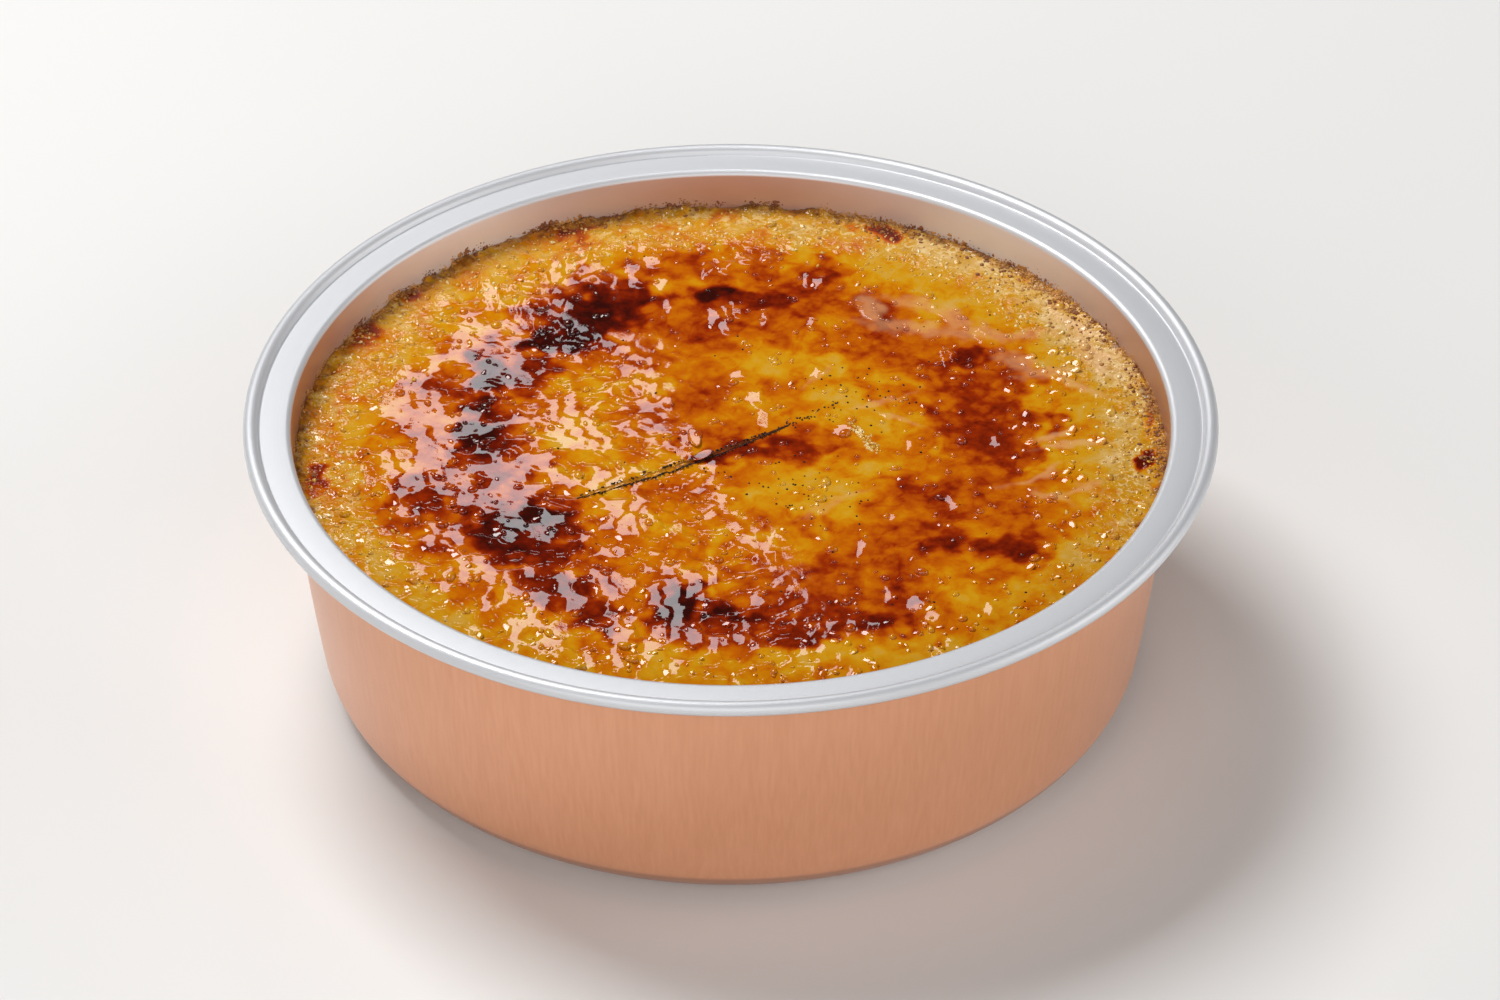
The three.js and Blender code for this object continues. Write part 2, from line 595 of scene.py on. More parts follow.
class Toast(Enum):
    """How far a spot of the crust has browned: its level from 0 to 1, and its colour."""

    CREAM = (0.06, srgb(222, 184, 122))
    STRAW = (0.18, srgb(204, 158, 66))
    YELLOW = (0.31, srgb(206, 148, 19))
    GOLD = (0.42, srgb(202, 126, 7))
    AMBER = (0.51, srgb(194, 101, 4))
    BROWN = (0.62, srgb(178, 77, 5))
    RUSSET = (0.74, srgb(147, 42, 4))
    DARK = (0.87, srgb(98, 20, 5))
    BLACK = (1.0, srgb(50, 12, 7))

    @property
    def level(self) -> float:
        """The level from 0 to 1."""
        return self.value[0]

    @property
    def colour(self) -> Colour:
        """The colour at that level."""
        return self.value[1]


@dataclass(frozen=True)
class Patch:
    """An ellipse on the crust that fades out at its edge.

    Its long side is turned by so many degrees from +X, and strength says how much of it lies on its middle.
    """

    x: float
    y: float
    half_length: float
    half_width: float
    turn: float
    strength: float

    def cover(self, spots: np.ndarray, fray: np.ndarray | float = 0.0) -> np.ndarray:
        """How much of the patch lies on each spot.

        Args:
            spots: Rows of (x, y).
            fray: How far its edge is moved.

        Returns:
            Numbers from 0 to 1, one for each spot.
        """
        cosine, sine = math.cos(math.radians(self.turn)), math.sin(math.radians(self.turn))
        offset = spots - (self.x, self.y)
        along = offset @ (cosine, sine) / self.half_length
        across = offset @ (-sine, cosine) / self.half_width
        return self.strength * smooth_step(np.hypot(along, across) + fray, 1.5, 0.45)


@dataclass(frozen=True)
class Mark(Patch):
    """A patch that the torch left, with its stage of browning."""

    stage: Toast


def covered(patches: Sequence[Patch], spots: np.ndarray, fray: np.ndarray | float = 0.0) -> np.ndarray:
    """How much any of the patches covers each spot.

    Args:
        patches: The patches.
        spots: Rows of (x, y).
        fray: How far their edges are moved.

    Returns:
        Numbers from 0 to 1, one for each spot.
    """
    return np.max([patch.cover(spots, fray) for patch in patches], axis=0)


TORCH_MARKS = (
    # the dark place under the pod's bright plate
    Mark(-2.4, -1.2, 1.9, 1.4, 20, 0.9, Toast.BLACK),
    # the paler middle and its yellow pools
    Mark(0, 10, 7, 6, 0, 0.85, Toast.AMBER),
    Mark(-5, 7, 4, 5, 0, 0.55, Toast.BROWN),
    Mark(8.5, 14, 4.5, 5, 20, 0.95, Toast.YELLOW),
    Mark(0, 17.5, 7, 2.5, 10, 0.7, Toast.GOLD),
    Mark(7, -7, 9, 4.5, 20, 0.9, Toast.YELLOW),
    Mark(12, -8.5, 5, 3, 35, 0.3, Toast.STRAW),
    Mark(2, -15, 7, 4, 0, 0.7, Toast.GOLD),
    Mark(14, 7, 6, 5, 0, 0.6, Toast.YELLOW),
    Mark(-15, 4, 4, 10, 0, 0.75, Toast.YELLOW),
    Mark(-12, -6, 5, 4, 20, 0.6, Toast.YELLOW),
    Mark(18, 33, 9, 4, -20, 0.95, Toast.YELLOW),
    Mark(27, 27, 8, 4, -40, 0.9, Toast.YELLOW),
    Mark(34, 6, 4, 15, 5, 0.8, Toast.YELLOW),
    Mark(38.5, 19, 2.4, 9, 25, 0.75, Toast.CREAM),
    Mark(41, 2, 2.4, 12, 0, 0.8, Toast.STRAW),
    Mark(-41, -2, 3, 20, 0, 0.5, Toast.GOLD),
    Mark(-36.5, -2, 2.2, 7, 10, 0.6, Toast.AMBER),
    Mark(-20, 33, 9, 3.5, 35, 0.9, Toast.YELLOW),
    # the browned ring
    Mark(-3, 23, 10, 5, 0, 0.8, Toast.BROWN),
    Mark(5, 27, 9, 5, 10, 0.95, Toast.BROWN),
    Mark(9, 31, 4, 2.5, 60, 0.85, Toast.RUSSET),
    Mark(0, 34.5, 9, 3, 0, 0.5, Toast.BROWN),
    Mark(-5, 5, 7, 5, 0, 0.6, Toast.BROWN),
    Mark(14, 21, 5, 3, 10, 0.9, Toast.BROWN),
    Mark(20, 17, 7, 4, -20, 0.7, Toast.BROWN),
    Mark(26, 8, 9, 5.5, 95, 1.0, Toast.BROWN),
    Mark(27, 4, 5.5, 5, 0, 0.9, Toast.RUSSET),
    Mark(26, 10.5, 4, 3.5, 0, 0.7, Toast.RUSSET),
    Mark(28.5, -1, 3, 2.5, 0, 0.8, Toast.RUSSET),
    Mark(24.5, 17, 1.6, 2.4, 0, 0.75, Toast.DARK),
    Mark(23.5, 10, 2, 3, 0, 0.8, Toast.RUSSET),
    Mark(22, -9, 10, 4, 12, 0.85, Toast.BROWN),
    Mark(22.5, -9, 1.6, 3, 0, 0.8, Toast.RUSSET),
    Mark(24, -15, 9, 4, 0, 0.75, Toast.BROWN),
    Mark(21, -17, 2.4, 1.4, 20, 0.8, Toast.DARK),
    Mark(27.5, -17.5, 3.2, 1.5, -10, 0.9, Toast.DARK),
    Mark(10, -25, 11, 6, 0, 1.0, Toast.BROWN),
    Mark(9, -29, 8, 3.6, -5, 0.85, Toast.RUSSET),
    Mark(-4, -8, 8, 3, 20, 0.5, Toast.BROWN),
    Mark(-30, 6, 10, 5, 90, 0.7, Toast.BROWN),
    Mark(-29, -14, 8, 5, 100, 0.75, Toast.BROWN),
    # the scorched patches
    Mark(4, -30.5, 3.5, 1.6, 2, 0.4, Toast.DARK),
    Mark(14.5, -28.8, 2.2, 1.2, 0, 0.7, Toast.DARK),
    Mark(6.8, -33, 2.6, 1, 0, 0.8, Toast.DARK),
    Mark(-4.8, -27, 3, 3, 0, 0.95, Toast.BLACK),
    Mark(-0.5, -29, 3.6, 2, -20, 0.85, Toast.BLACK),
    Mark(-1, -32, 6, 2, 0, 0.85, Toast.RUSSET),
    Mark(-17, -24, 7, 3.4, -55, 0.95, Toast.RUSSET),
    Mark(-16.5, -24.5, 6, 2.1, -58, 0.95, Toast.DARK),
    Mark(-20, -13, 8, 4.5, -60, 0.95, Toast.RUSSET),
    Mark(-21, -11.8, 4.6, 2.2, -25, 0.95, Toast.BLACK),
    Mark(-24, -13.5, 6, 2.7, 105, 0.95, Toast.BLACK),
    Mark(-26.5, -7.5, 2.6, 1.4, -35, 0.85, Toast.DARK),
    Mark(-18, -17.5, 2, 2.4, 0, 0.8, Toast.DARK),
    Mark(-25, 0, 12, 3.8, 95, 0.95, Toast.RUSSET),
    Mark(-25, 1, 9, 1.5, 92, 0.9, Toast.DARK),
    Mark(-26.8, 3, 2.3, 3.6, 0, 0.9, Toast.BLACK),
    Mark(-21.5, 14, 3.2, 4.5, 30, 0.9, Toast.RUSSET),
    Mark(-25, 13, 2.8, 4.2, 10, 0.95, Toast.BLACK),
    Mark(-21, 14.5, 2.5, 2, 0, 0.8, Toast.DARK),
    Mark(-32, -8, 3.2, 1.8, -60, 0.75, Toast.DARK),
    Mark(-15, 24.5, 9.5, 5.6, 50, 1.0, Toast.RUSSET),
    Mark(-14.5, 24, 6.8, 3.7, 50, 0.95, Toast.BLACK),
    Mark(-11.5, 28, 3.4, 2.2, 40, 0.9, Toast.DARK),
    Mark(-17, 20, 4.2, 2.1, 10, 0.95, Toast.BLACK),
    Mark(-1.2, 28.7, 2.9, 1.8, 0, 0.95, Toast.BLACK),
    Mark(3.2, 26.8, 4, 1.7, -20, 0.9, Toast.DARK),
    Mark(6, -0.8, 4, 2, 5, 0.95, Toast.RUSSET),
    Mark(1.5, -0.3, 4, 1.4, 25, 0.9, Toast.DARK),
    # the creamy places and the browned spots along the wall
    Mark(24, 35, 6, 1.8, -35, 0.75, Toast.CREAM),
    Mark(34, 26, 5.5, 1.8, -52, 0.8, Toast.CREAM),
    Mark(39.5, 14, 4.5, 1.8, -72, 0.8, Toast.CREAM),
    Mark(7, 40.5, 5, 1.2, -8, 0.6, Toast.STRAW),
    Mark(-12, 37.5, 10, 2.4, 17, 0.7, Toast.GOLD),
    Mark(-26.5, 31.5, 8.5, 3, 44, 0.95, Toast.GOLD),
    Mark(-38.5, 5, 3.0, 12, 0, 0.45, Toast.GOLD),
    Mark(-17, 40.2, 2.6, 1.3, 20, 0.8, Toast.DARK),
    Mark(16.3, 40.6, 2.4, 1.3, -20, 0.8, Toast.BLACK),
    Mark(-38.8, 21.5, 1.1, 1.9, 0, 0.7, Toast.DARK),
    Mark(-33.6, 28.6, 1.8, 1.0, 40, 0.65, Toast.DARK),
    Mark(-43, -5, 1, 2.6, 0, 0.8, Toast.DARK),
    Mark(35.4, 26.6, 1.0, 5, 40, 0.35, Toast.BROWN),
    Mark(43.3, 7.5, 0.8, 2.4, 0, 0.5, Toast.DARK),
    Mark(42.8, -2.5, 1, 1.6, 0, 0.9, Toast.BLACK),
)

FILM_FOLDS_AND_REFLECTIONS = (
    # the wrinkled skin behind and to the right, painted pale partly as a painted reflection of a dim light
    # on its folds
    Patch(15.2, 25, 3.0, 1.1, 105, 0.85),
    Patch(18.5, 22, 4.2, 1.2, -12, 0.7),
    Patch(19.8, 26, 3.2, 0.8, -30, 0.65),
    Patch(23.5, 24, 3.2, 1.0, -35, 0.7),
    Patch(26, 20.8, 4.2, 1.1, -15, 0.65),
    Patch(30.5, 20.5, 3.6, 0.8, 10, 0.75),
    Patch(30.5, 15.2, 3, 1.1, -35, 0.7),
    Patch(33.5, 13.8, 3.4, 0.8, 12, 0.7),
    Patch(36, 11.5, 3.6, 0.5, -38, 0.9),
    Patch(38, 17, 4.5, 0.8, -65, 0.9),
    Patch(35.5, 23, 4, 0.7, -50, 0.8),
    # the ribbons further down
    Patch(33.6, 2.2, 2.4, 0.55, 28, 0.9),
    Patch(36, 0.7, 3.6, 0.5, 8, 0.9),
    Patch(31.5, -4.8, 3.4, 0.5, 30, 0.8),
    Patch(36, -7, 2.6, 0.6, 38, 0.9),
    Patch(33, -8.8, 2, 0.45, -32, 0.8),
    # fine wrinkles in the middle
    Patch(17, 5.5, 3, 0.3, -30, 0.6),
    Patch(15.5, 8.5, 3.4, 0.3, 25, 0.6),
    Patch(10.5, -9.5, 4, 0.4, 35, 0.4),
    Patch(9, 13, 2.5, 0.4, 60, 0.5),
)

# where the caramel set as broad smooth plates
SMOOTH_PLACES = (
    Patch(-25.5, 14, 3.0, 4.5, 0, 0.8),
    Patch(-27.5, 4, 2.5, 4.0, 0, 0.7),
    Patch(-24, -11, 3.6, 4.2, 20, 0.8),
    Patch(-32, -5, 2.6, 5.0, 0, 0.5),
    Patch(-14.5, 3, 2.8, 5.0, 0, 0.5),
    Patch(-20.5, 23, 1.6, 3.0, 20, 0.7),
    Patch(-6.5, -26, 1.6, 2.8, 0, 0.8),
    Patch(-31, 9, 2.4, 3.0, 0, 0.4),
)

# where the caramel ran evenly and mirrors little
QUIET_PLACES = (
    Patch(-13.5, 24.5, 5.5, 5.5, 0, 0.95),
    Patch(1, 28, 6, 3.5, 0, 0.8),
    Patch(-21, 3, 2.0, 8.0, 0, 0.5),
    Patch(-5, 5, 6, 6, 0, 0.6),
    Patch(6, -10, 8, 10, 0, 0.7),
)


@dataclass(frozen=True)
class Glaze:
    """Caramel that set in patches: smooth plates, and rough ground between them that rises to the back.

    Most plates lie in a glassy band across the left half. Each leans a little more to the left the
    further it is from the band's middle line.
    """

    size: float = 1.7
    squeeze: tuple[float, float] = (1.15, 0.8)
    seed: float = 5.0
    smooth: tuple[Patch, ...] = SMOOTH_PLACES
    quiet: tuple[Patch, ...] = QUIET_PLACES
    band_left: float = 25.0
    band_slant: float = 0.356
    band_reach: float = 14.0
    strewn_reach: float = 27.0
    lean: float = 0.00305
    plate_height: float = 0.04

    def chance(self, cells: np.ndarray, salt: float) -> np.ndarray:
        """A number from 0 to 1 for each cell, always the same for that cell and salt."""
        mixed = np.sin(cells @ np.array((12.9898, 78.233)) + self.seed + 37.1 * salt) * 43758.5453
        return mixed - np.floor(mixed)

    def band(self, spots: np.ndarray) -> np.ndarray:
        """How far each spot lies to the right of the glassy band, in millimetres."""
        return spots[:, 0] + self.band_left + self.band_slant * spots[:, 1]

    def share(self, spots: np.ndarray) -> np.ndarray:
        """The share of the patches that set as plates around each spot.

        Args:
            spots: Rows of (x, y).

        Returns:
            One share for each spot, from 0 to 1 and past it where all of them did.
        """
        off = self.band(spots)
        clumps = 1.6 * ripple(spots, 7.0, 41.0) + 1.1 * ripple(spots, 3.4, 43.0)
        calm = smooth_step(spots[:, 1], -24.0, -8.0)
        glassy = (0.32 + (0.3 + 0.7 * calm) * clumps) * np.exp(-((off / self.band_reach) ** 4))
        strewn = (0.2 + 0.3 * clumps) * np.exp(-((off / self.strewn_reach) ** 2)) + 0.012
        middle = np.exp(-(((spots[:, 0] + 4.0) / 10.0) ** 2))
        behind = 0.16 * smooth_step(spots[:, 1], 18.0, 28.0) * middle
        front = 1 - 0.4 * smooth_step(spots[:, 1], -24.0, -30.0)
        share = (glassy * front + strewn + behind) * (1 - covered(self.quiet, spots))
        return share + covered(self.smooth, spots)

    def nearest(self, spots: np.ndarray) -> tuple[np.ndarray, np.ndarray]:
        """The patch that each spot belongs to, which is the one whose middle is nearest.

        Args:
            spots: Rows of (x, y).

        Returns:
            The (x, y) of each spot's patch, and three numbers from 0 to 1 that the patch has drawn.
        """
        frayed = spots + 0.5 * CrustField.drift(spots, 3.0, 29.0) + 0.4 * CrustField.drift(spots, 1.2, 33.0)
        scaled = frayed / self.size * self.squeeze
        least = np.full(len(spots), np.inf)
        middle = np.zeros((len(spots), 2))
        drawn = np.zeros((len(spots), 3))
        for shift in ((x, y) for x in (-1, 0, 1) for y in (-1, 0, 1)):
            cell = np.floor(scaled) + shift
            place = cell + np.stack([self.chance(cell, 1), self.chance(cell, 2)], axis=1)
            reach = np.hypot(*(scaled - place).T)
            closer = reach < least
            least = np.where(closer, reach, least)
            middle[closer] = place[closer] * self.size / self.squeeze
            drawn[closer] = np.stack([self.chance(cell, salt) for salt in (3, 4, 5)], axis=1)[closer]
        return middle, drawn

    def height(self, spots: np.ndarray) -> np.ndarray:
        """Height of the patches over the crust.

        Args:
            spots: Rows of (x, y).

        Returns:
            One height for each spot.
        """
        middle, drawn = self.nearest(spots)
        plate = drawn[:, 0] < self.share(middle)
        off = self.band(middle)
        slope = self.lean * off + (0.01 + 0.0012 * np.abs(off)) * (drawn[:, 1] - 0.5)
        away = spots - middle
        leaning = slope * away[:, 0] + 0.04 * (drawn[:, 2] - 0.5) * away[:, 1]
        near_band = smooth_step(np.abs(off), 26.0, 14.0)
        rising = (0.12 * away[:, 1] - 0.05) * near_band * (1 - covered(self.quiet, spots))
        return np.where(plate, leaning + self.plate_height, rising)


@dataclass(frozen=True)
class CrustField:
    """What the crust is like at each spot: its browning, residue, film with its painted reflection, sugary
    grain and height.

    A ring is a distance from the middle and the level of browning there, where no mark lies.
    """

    level: float = 25.6
    radius: float = 44.9
    climb_width: float = 1.2
    rings: tuple[tuple[float, float], ...] = (
        (0.0, 0.46),
        (13.0, 0.47),
        (22.0, 0.52),
        (30.0, 0.52),
        (34.0, 0.47),
        (37.5, 0.38),
        (42.0, 0.33),
        (46.0, 0.31),
    )
    marks: tuple[Mark, ...] = TORCH_MARKS
    folds_and_reflections: tuple[Patch, ...] = FILM_FOLDS_AND_REFLECTIONS
    glaze: Glaze = field(default_factory=Glaze)

    def toast(self, spots: np.ndarray) -> np.ndarray:
        """The level of browning, from 0 to 1.

        Args:
            spots: Rows of (x, y).

        Returns:
            One level for each spot.
        """
        bent = spots + 1.4 * self.drift(spots, 6.5, 3.0) + 1.6 * self.drift(spots, 2.4, 7.0)
        fray = 0.7 * ripple(spots, 2.2, 71.0) + 0.3 * ripple(spots, 1.1, 73.0)
        toast = np.interp(np.hypot(*bent.T), *zip(*self.rings))
        for mark in self.marks:
            cover = mark.cover(bent, fray)
            toast = toast * (1 - cover) + mark.stage.level * cover
        mottle = (
            0.2 * ripple(bent, 4.6, 11.0)
            + 0.12 * ripple(bent, 2.1, 13.0)
            + 0.03 * ripple(spots, 1.2, 17.0)
        )
        veins = smooth_step(np.abs(ripple(bent, 3.4, 19.0)), 0.1, 0.0)
        even = 1 - 0.55 * smooth_step(toast, 0.6, 0.8)
        return np.clip(toast + (mottle + 0.07 * veins) * even, 0.0, 1.0)

    def residue(self, spots: np.ndarray) -> np.ndarray:
        """How much dull brown residue lies on each spot: only where the crust meets the wall.

        Args:
            spots: Rows of (x, y).

        Returns:
            Numbers from 0 to 1, one for each spot.
        """
        distance = np.hypot(*spots.T)
        along = spots / np.maximum(distance, 1.0)[:, None]
        patchy = smooth_step(ripple(45.0 * along, 4.0, 83.0) + 0.8 * ripple(spots, 1.0, 87.0), -0.35, 0.3)
        return (0.25 + 0.65 * patchy) * smooth_step(distance + 0.8 * ripple(spots, 1.1, 89.0), 43.5, 44.4)

    def film_and_painted_reflection(self, spots: np.ndarray) -> np.ndarray:
        """How much of the pale, wrinkled film lies on each spot. Its pale colour is partly painted
        reflection.

        Args:
            spots: Rows of (x, y).

        Returns:
            Numbers from 0 to 1, one for each spot.
        """
        bent = spots + 1.1 * self.drift(spots, 3.2, 91.0) + 0.6 * self.drift(spots, 1.3, 93.0)
        fray = 0.5 * ripple(spots, 1.2, 97.0)
        return covered(self.folds_and_reflections, bent, fray)

    @staticmethod
    def drift(spots: np.ndarray, wavelength: float, seed: float) -> np.ndarray:
        """Offsets that fray an outline, one (x, y) for each spot."""
        return np.stack([ripple(spots, wavelength, seed), ripple(spots, wavelength, seed + 40.0)], axis=1)

    def grain(self, spots: np.ndarray) -> np.ndarray:
        """How sugary and rough the crust is: glassy in the middle, sugary along the wall.

        Args:
            spots: Rows of (x, y).

        Returns:
            Numbers from 0 to 1, one for each spot.
        """
        radius = np.hypot(*spots.T) + 3.0 * ripple(spots, 7.0, 23.0)
        radius -= 3.0 * smooth_step(spots[:, 0], -8.0, -20.0) * smooth_step(spots[:, 1], 16.0, 28.0)
        return smooth_step(radius, 35.0, 42.0) * (0.1 + 0.9 * smooth_step(spots[:, 1], -32.0, -8.0))

    def relief(self, spots: np.ndarray) -> np.ndarray:
        """Height over the crust's mean level.

        Args:
            spots: Rows of (x, y).

        Returns:
            One height for each spot.
        """
        grain = self.grain(spots)
        radius = np.hypot(*spots.T)
        swell = (
            0.13 * ripple(spots, 17.0, 31.0)
            + 0.03 * ripple(spots, 6.0, 37.0)
            + 0.008 * ripple(spots, 3.0, 77.0)
        )
        hump = 0.16 * smooth_step(np.hypot(*(spots - (-19.5, 25.0)).T), 8.0, 1.0)
        ground = (0.004 + 0.045 * grain) * ripple(spots, 1.1, 47.0)
        along = spots / np.maximum(radius, 1.0)[:, None]
        ragged = 0.36 + 0.9 * ripple(45.0 * along, 3.6, 53.0) + 0.45 * ripple(45.0 * along, 1.1, 59.0)
        steep = np.clip(ragged, 0.04, 0.6) * (0.35 + 0.65 * smooth_step(spots[:, 0], 24.0, 2.0))
        climb = smooth_step(radius, self.radius - self.climb_width, self.radius) * steep
        return swell + hump + self.glaze.height(spots) + ground + 0.07 * self.film_and_painted_reflection(spots) + climb

    def height(self, spots: np.ndarray) -> np.ndarray:
        """Height above the base, with the same arguments as relief."""
        return self.level + self.relief(spots)


@dataclass(frozen=True)
class BurntCaramel:
    """Glassy caramel over custard, from cream through amber to charred, by the mesh's browning."""

    gloss: float = 0.03
    # the pale film over the folds: partly real skin, partly painted reflection of a dim light on them
    film_and_reflection_cover: float = 0.5
    film_and_painted_reflection: Colour = srgb(226, 174, 124)
    residue_dark: Colour = srgb(112, 62, 20)
    residue_light: Colour = srgb(178, 122, 52)
    olive: Colour = srgb(182, 130, 36)
    burnt: Colour = srgb(160, 100, 26)
    # pale sugar frost, partly painted sparkle standing in for tiny highlights
    frost_and_painted_sparkle: Colour = srgb(238, 214, 156)

    def material(self) -> bpy.types.Material:
        """Build the material, which reads the attributes toast, grain, residue and film, whose pale colour
        is partly painted reflection.

        Returns:
            The material.
        """
        shader = Shader("burnt_caramel")
        toast = shader.attribute("toast")
        grain = shader.attribute("grain")
        level = shader.math("ADD", toast, self.mottle(shader, toast))
        colour = shader.ramp(level, [(stage.level, stage.colour) for stage in Toast])
        colour = self.sugared(shader, colour, toast, grain)
        specks = shader.spread(shader.noise(900, 3.0), 0.42, 0.6, 0.0, 1.0)
        residue = shader.mix(specks, self.residue_dark, self.residue_light)
        colour = shader.mix(shader.attribute("residue"), colour, residue)
        # lay the pale film colour, partly painted reflection, where the film lies
        film_and_painted_reflection = shader.math("MULTIPLY", shader.attribute("film_and_painted_reflection"), self.film_and_reflection_cover)
        colour = shader.mix(film_and_painted_reflection, colour, self.film_and_painted_reflection)
        fine = shader.noise(2600, 3.0)
        sugary = shader.math("MULTIPLY", shader.noise(1050, 2.0, warp=0.4), grain)
        normal = shader.bump(fine, 0.004 * MM, shader.bump(sugary, 0.2 * MM))
        shader.set(
            Base_Color=colour,
            Roughness=0.6,
            Specular_IOR_Level=0.0,
            Coat_Weight=1.0,
            Coat_Roughness=self.gloss,
            Coat_IOR=1.5,
            Normal=normal,
            Coat_Normal=normal,
        )
        return shader.material

    @staticmethod
    def mottle(shader: Shader, toast: object) -> object:
        """Small differences in browning: clouds, flecks and, where the caramel is amber, a net of veins.

        Args:
            shader: The material under construction.
            toast: The level of browning.

        Returns:
            What is added to the level.
        """
        clouds = shader.spread(shader.noise(620, 4.0, warp=0.8), 0.3, 0.7, -0.055, 0.055)
        flecks = shader.spread(shader.noise(1900, 3.0), 0.3, 0.7, -0.025, 0.025)
        sway = shader.add("ShaderNodeTexNoise", {"Vector": shader.place, "Scale": 700.0, "Detail": 2.0})
        reach = (1.6 * MM, 1.6 * MM, 1.6 * MM)
        swayed = shader.add(
            "ShaderNodeVectorMath",
            {0: sway.outputs["Color"], 1: reach, 2: shader.place},
            operation="MULTIPLY_ADD",
        )
        net = shader.add("ShaderNodeTexVoronoi", {"Vector": swayed.outputs[0], "Scale": 620.0})
        past_gold = shader.spread(toast, 0.48, 0.6, 0.0, 1.0)
        before_dark = shader.spread(toast, 0.74, 0.84, 1.0, 0.0)
        amber = shader.math("MULTIPLY", past_gold, before_dark)
        lines = shader.spread(net.outputs["Distance"], 0.25, 0.65, -0.05, 0.055)
        veins = shader.math("MULTIPLY", lines, amber)
        return shader.math("ADD", clouds, shader.math("ADD", flecks, veins))

    def sugared(self, shader: Shader, colour: object, toast: object, grain: object) -> object:
        """The colour with sugar on it that melted unevenly: olive and burnt places, and pale frosted places
        that are partly painted sparkle.

        Args:
            shader: The material under construction.
            colour: The caramel's own colour.
            toast: The level of browning.
            grain: How sugary the crust is.

        Returns:
            The colour's socket.
        """
        patches = shader.spread(shader.noise(210, 3.0, warp=0.6), 0.4, 0.6, 0.35, 1.0)
        pale = shader.spread(toast, 0.3, 0.5, 1.0, 0.0)
        sweet = shader.math("MULTIPLY", shader.math("POWER", grain, 1.4), pale)
        sweet = shader.math("MULTIPLY", sweet, patches)
        olive = shader.spread(shader.noise(380, 3.0, warp=0.5), 0.45, 0.65, 0.0, 0.6)
        colour = shader.mix(shader.math("MULTIPLY", olive, sweet), colour, self.olive)
        burnt = shader.spread(shader.noise(1250, 4.0, warp=0.9), 0.55, 0.66, 0.0, 0.5)
        colour = shader.mix(shader.math("MULTIPLY", burnt, sweet), colour, self.burnt)
        # pale frost specks on the sugary rim, partly painted sparkle
        frost_and_painted_sparkle = shader.spread(shader.noise(1350, 4.0, warp=1.2), 0.5, 0.6, 0.0, 0.62)
        return shader.mix(shader.math("MULTIPLY", frost_and_painted_sparkle, sweet), colour, self.frost_and_painted_sparkle)


@dataclass(frozen=True)
class Crust:
    """The custard up to its torched crust, out to just inside the cup's wall."""

    sizes: CupSizes
    crust: CrustField
    finish: bpy.types.Material
    cells: int = 286
    into_wall: float = 0.1
    edge_drop: float = 1.0
    side_steps: int = 3

    def build(self) -> bpy.types.Object:
        """Shape a round sheet of fine cells, raise its relief, and close it down the wall.

        Returns:
            The piece.
        """
        shape = bmesh.new()
        bmesh.ops.create_grid(shape, x_segments=self.cells, y_segments=self.cells, size=1.0)
        for vert in shape.verts:
            vert.co.x, vert.co.y = round_off(vert.co.x, vert.co.y, self.edge_radius(self.crust.level) * MM)
        heights = self.crust.height(plan(shape)) * MM
        for vert, height in zip(shape.verts, heights):
            vert.co.z = height
        self.close(shape)
        spots = plan(shape)
        piece = finished("caramel_custard", shape, self.finish, "caramel_custard", ["custard"])
        dress_with_field(piece, self.crust, spots)
        return piece

    def edge_radius(self, height: float) -> float:
        """Radius of the custard's side at a height, a little way into the sheet of the wall."""
        return self.sizes.wall(height) - self.sizes.sheet + self.into_wall

    def close(self, shape: bmesh.types.BMesh) -> None:
        """Draw the sheet's edge down inside the wall and fill the bottom.

        Args:
            shape: The sheet, which becomes a closed solid.
        """
        inset = self.sizes.sheet - self.into_wall
        outline = self.sizes.bowl(inset, self.crust.level - self.edge_drop, self.side_steps)
        for radius, height in reversed(outline[1:]):
            for vert in draw_edge(shape):
                flat = vert.co.xy.normalized() * radius * MM
                vert.co = (flat.x, flat.y, height * MM)
        shut(shape)


def round_off(x: float, y: float, radius: float) -> tuple[float, float]:
    """Move a point of a square onto a disc so that all cells keep about the same area.

    Args:
        x: From -1 to 1.
        y: From -1 to 1.
        radius: The disc's radius.

    Returns:
        The point on the disc.
    """
    if x == 0 and y == 0:
        return 0.0, 0.0
    if abs(x) > abs(y):
        reach, angle = x, math.pi / 4 * y / x
    else:
        reach, angle = y, math.pi / 2 - math.pi / 4 * x / y
    return radius * reach * math.cos(angle), radius * reach * math.sin(angle)


# --------------------------------------------------------------------------------------------------
# What lies on the crust
# --------------------------------------------------------------------------------------------------


@dataclass(frozen=True)
class PodSkin:
    """The split vanilla pod under its glaze: dark ridges beside an olive-brown hollow."""

    ridge: Colour = srgb(34, 15, 6)
    hollow: Colour = srgb(172, 110, 16)
    tip: Colour = srgb(98, 46, 10)

    def material(self) -> bpy.types.Material:
        """Build the material, which reads the attributes ridge and along.

        Returns:
            The material.
        """
        shader = Shader("pod_skin")
        wrinkle = shader.noise(2600, 4.0, warp=0.5)
        hollow = shader.mix(shader.attribute("along"), self.hollow, self.tip)
        edge = shader.math("ADD", shader.attribute("ridge"), shader.spread(wrinkle, 0.32, 0.68, -0.6, 0.6))
        colour = shader.mix(shader.spread(edge, 0.5, 0.8, 0.0, 1.0), hollow, self.ridge)
        shader.set(
            Base_Color=colour,
            Roughness=0.5,
            Specular_IOR_Level=0.1,
            Coat_Weight=0.45,
            Coat_Roughness=0.06,
            Normal=shader.bump(wrinkle, 0.05 * MM),
        )
        return shader.material


